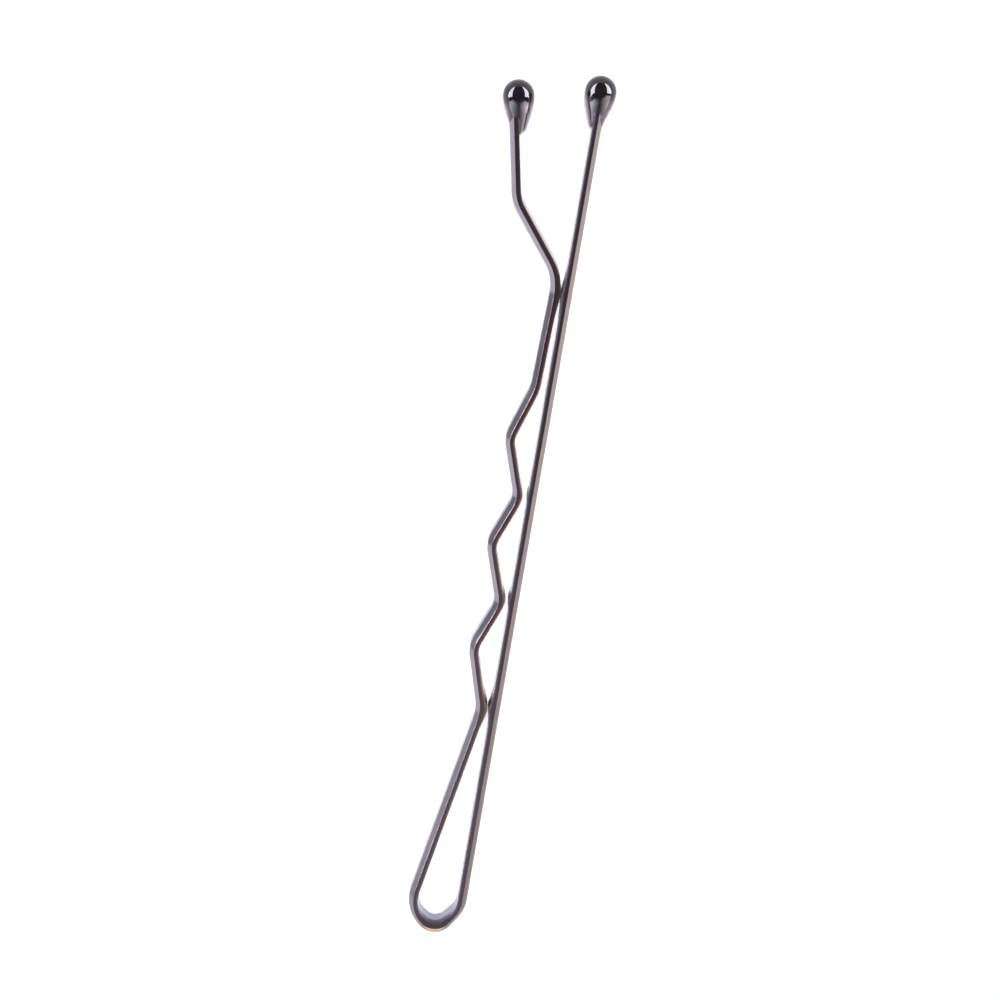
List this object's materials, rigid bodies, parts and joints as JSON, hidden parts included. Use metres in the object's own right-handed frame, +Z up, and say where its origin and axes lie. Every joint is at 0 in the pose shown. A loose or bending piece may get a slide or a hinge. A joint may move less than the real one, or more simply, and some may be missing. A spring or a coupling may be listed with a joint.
{
  "type": "bobby pin",
  "caption": "Sprung flat-wire hair grip with a straight leg and a crimped leg that nips against it, folded at a round bend, with smooth enamel drop tips.",
  "frame": {"origin": "centre of the footprint on the surface that the pin lies on, on its side", "axes": "+X along the straight leg from the spring bend to the tips, +Y from the straight leg to the wavy leg, +Z up, across the width of the wire"},
  "size_m": [0.0502, 0.006, 0.002],
  "materials": {
    "wire_lacquer": "thin glossy brown-black stoving lacquer on flat-rolled spring steel",
    "tip_enamel": "dipped black enamel, smooth and wet-looking"
  },
  "bodies": {
    "straight_side": {"straight_leg": "wire_lacquer", "spring_bend": "wire_lacquer", "straight_leg_tip": "tip_enamel"},
    "wavy_side": {"wavy_leg": "wire_lacquer", "wavy_leg_tip": "tip_enamel"}
  },
  "joints": [
    {"name": "legs_spread", "type": "hinge", "parent": "straight_side", "child": "wavy_side", "pos_m": [-0.02392, -0.00085, 0.00098], "axis": [0, 0, 1], "range_deg": [0, 15], "stiffness_Nm_per_rad": 0.08, "springref_deg": -8.59, "deforming": ["spring_bend"]}
  ]
}
